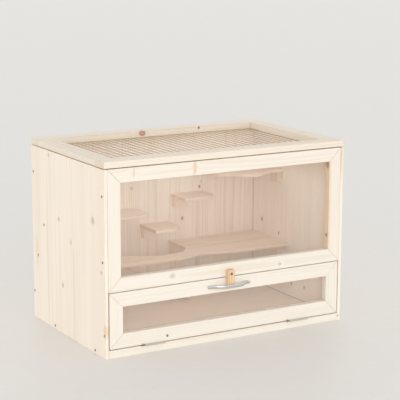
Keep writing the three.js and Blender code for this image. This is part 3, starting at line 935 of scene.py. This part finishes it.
def raised_screw(node, zinc):
    """A pan head screw with a cross recess, driven from the front."""
    low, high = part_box(node)
    centre = (low + high) / 2
    head = (high.x - low.x) / 2
    dome = head * 0.5
    shank = 1.5 * MM
    length = high.y - low.y
    tip = 3 * MM
    profile = [(0, 0)]
    for degrees in range(14, 85, 14):       # the head's dome
        a = math.radians(degrees)
        profile.append((head * math.sin(a), -dome * (1 - math.cos(a)) * 0.85))
    profile += [
        (head, -dome * 0.8), (head * 0.97, -dome), (shank, -dome), (shank, -length + tip), (0, -length),
    ]
    mesh = screw_mesh(node + "_turned", profile, zinc, head * 0.55, head * 0.5)
    front = Vector((centre.x, low.y, centre.z))
    piece = put_screw(node + "_metal", mesh, front, Vector((0, -1, 0)), BODY_OF[node])
    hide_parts(node)


def turn_button(zinc):
    """The small hardwood turn button and its screw."""
    light, dark = colour(0.95, 0.74, 0.52), colour(0.70, 0.46, 0.26)
    hardwood = pine("button_wood", light, dark, spacing=2.2 * MM, contrast=1.2, roughness=0.5)
    wooden("turn_button", hardwood, AXES["z"], AXES["x"], bevel=1.4 * MM)
    raised_screw("turn_button_screw", zinc)


# ---- lid mesh and panes ----
PITCH = 22 * MM
HEAVY_WIRE, LIGHT_WIRE = 1.1 * MM, 0.4 * MM     # radii of the wires along Y and along X
WELD = 0.6 * MM         # how deep the wires sink into each other where they cross
WIRE_PLAY = 0.25 * MM   # how far a wire may lie off its place
WIRE_MARGIN = 2 * MM    # from the outermost wires to the edge of the mesh
ACRYLIC_IOR = 1.49


def wire_mesh():
    """The welded mesh below the lid: straight wires along Y on top of straight wires along X."""
    graph = Graph("mesh_wire")
    where = graph.add("TexCoord").outputs["Object"]
    cloud = graph.noise(where, (90, 90, 90), 4.0)
    tint = graph.mix(graph.span(cloud, 0.4, 0.7), colour(1.0, 0.94, 0.85), colour(0.92, 0.85, 0.75))
    graph.put(graph.shader.inputs["Metallic"], 1.0)
    rough = graph.math("MULTIPLY_ADD", cloud, 0.12, 0.28)
    material = graph.finish(Base_Color=tint, Roughness=rough)

    low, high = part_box("lid_mesh")
    below_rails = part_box("lid_front_rail")[0].z - 0.05 * MM
    heavy_level = below_rails - HEAVY_WIRE
    light_level = below_rails - HEAVY_WIRE * 2 - LIGHT_WIRE + WELD
    bm = bmesh.new()
    layers = ((1, 0, "X", heavy_level, HEAVY_WIRE), (0, 1, "Y", light_level, LIGHT_WIRE))
    for along, over, turned_about, level, radius in layers:    # along and over are axis numbers
        start, stop = low[over] + WIRE_MARGIN, high[over] - WIRE_MARGIN
        centre = (low[along] + high[along]) / 2
        turn = Matrix.Rotation(math.pi / 2, 4, turned_about)
        count = int((stop - start) / PITCH)
        first = (start + stop - count * PITCH) / 2
        for i in range(count + 1):
            middle = Vector((0, 0, level))
            middle[along] = centre
            middle[over] = first + i * PITCH + RNG.uniform(-WIRE_PLAY, WIRE_PLAY)
            bmesh.ops.create_cone(
                bm, cap_ends=True, segments=8, radius1=radius, radius2=radius,
                depth=high[along] - low[along], matrix=Matrix.Translation(middle) @ turn,
            )
    stands_for(smooth(to_object(bm, "lid_wire_mesh", material)), "lid_mesh")


def acrylic(node, alpha):
    """Clear sheet with a faint warm haze: it keeps its CAD mesh."""
    graph = Graph("acrylic_" + node)
    where = graph.add("TexCoord").outputs["Object"]
    smear = graph.noise(where, (5, 5, 9), 3.0)
    rough = graph.math("MULTIPLY_ADD", smear, 0.10, 0.05)
    haze = graph.mix(smear, colour(0.94, 0.79, 0.70), colour(0.97, 0.85, 0.77))
    material = graph.finish(
        Base_Color=haze, Roughness=rough, Alpha=alpha, IOR=ACRYLIC_IOR, Specular_IOR_Level=0.5,
    )
    slots = frame["nodes"][node].data.materials
    slots.clear()
    slots.append(material)


# ---- stage, light and camera ----
FLOOR_HALF = 60         # metres, so that the floor's edge stays out of every view
HORIZON_STRENGTH, ZENITH_STRENGTH = 1.60, 0.70
KEY_PLACE, KEY_SIZE, KEY_WATTS = (-1.2, -4.2, 0.75), (3.8, 1.35), 37.0
KEY_TARGET = Vector((0, MIDDLE_Y, 0.28))
LENS, SENSOR = 123.72, 36.0     # millimetres
CAMERA_PLACE = (-2.0116, -3.5536, 1.2042)
YAW, PITCH_DOWN, ROLL = (math.radians(a) for a in (30.02, 11.50, 0.18))


def paper_floor():
    """A plain pale floor under the cage."""
    graph = Graph("floor_paper")
    where = graph.add("TexCoord").outputs["Object"]
    cloud = graph.noise(where, (30, 30, 30), 4.0)
    paper = graph.mix(cloud, colour(0.80, 0.79, 0.77), colour(0.83, 0.82, 0.80))
    material = graph.finish(Base_Color=paper)
    bm = bmesh.new()
    bmesh.ops.create_grid(bm, x_segments=1, y_segments=1, size=FLOOR_HALF)
    floor = to_object(bm, "studio_floor", material)
    floor.location.z = cad_box[0].z


def soft_sky():
    """Light from all round, stronger near the horizon than overhead."""
    world = bpy.data.worlds.new("studio")
    bpy.context.scene.world = world
    world.use_nodes = True
    tree = world.node_tree
    sky = tree.nodes["Background"]
    sky.inputs["Color"].default_value = colour(1.0, 0.985, 0.965)
    toward = tree.nodes.new("ShaderNodeTexCoord")
    split = tree.nodes.new("ShaderNodeSeparateXYZ")
    fade = tree.nodes.new("ShaderNodeMapRange")
    fade.interpolation_type = "SMOOTHSTEP"
    levels = {
        "From Min": 0.05, "From Max": 0.75,
        "To Min": HORIZON_STRENGTH, "To Max": ZENITH_STRENGTH,
    }
    for key, value in levels.items():
        fade.inputs[key].default_value = value
    tree.links.new(toward.outputs["Generated"], split.inputs["Vector"])
    tree.links.new(split.outputs["Z"], fade.inputs["Value"])
    tree.links.new(fade.outputs["Result"], sky.inputs["Strength"])


def key_light():
    """One wide soft light from the front, a little to the left."""
    data = bpy.data.lights.new("key", "AREA")
    data.shape = "RECTANGLE"
    data.size, data.size_y = KEY_SIZE
    data.energy = KEY_WATTS
    data.color = (1.0, 0.98, 0.95)
    lamp = bpy.data.objects.new("key", data)
    lamp.location = KEY_PLACE
    lamp.rotation_euler = (KEY_TARGET - lamp.location).to_track_quat("-Z", "Y").to_euler()
    bpy.context.scene.collection.objects.link(lamp)


def camera():
    """A long lens, from the front left and above."""
    level = math.cos(PITCH_DOWN)
    forward = Vector((math.sin(YAW) * level, math.cos(YAW) * level, -math.sin(PITCH_DOWN)))
    right = Vector((math.cos(YAW), -math.sin(YAW), 0))
    up = right.cross(forward)
    c, s = math.cos(ROLL), math.sin(ROLL)
    axes = (right * c + up * s, up * c - right * s, -forward)
    data = bpy.data.cameras.new("camera")
    data.lens = LENS
    data.sensor_width = SENSOR
    shot = bpy.data.objects.new("camera", data)
    turn = Matrix(axes).transposed().to_4x4()
    shot.matrix_world = Matrix.Translation(CAMERA_PLACE) @ turn
    bpy.context.scene.collection.objects.link(shot)
    bpy.context.scene.camera = shot


zinc_plate = metal("zinc_plate", colour(0.64, 0.61, 0.55), 0.36, 0.4, 0.25)
black_steel = metal("black_steel", colour(0.022, 0.018, 0.015), 0.55, 0.1, 0.2)
aged_zinc = metal("aged_zinc", colour(0.26, 0.20, 0.14), 0.45, 0.5, 0.25)
bright_chrome = metal("bright_chrome", colour(0.66, 0.66, 0.65), 0.16, 0.12, 0.10)
frame_rails()
panels(black_steel)
inside_boards()
handle(bright_chrome, zinc_plate)
turn_button(aged_zinc)
wire_mesh()
hinges(zinc_plate)
acrylic("window_pane", 0.13)
acrylic("door_pane", 0.20)
bpy.context.scene.view_settings.view_transform = "Standard"
paper_floor()
soft_sky()
key_light()
camera()
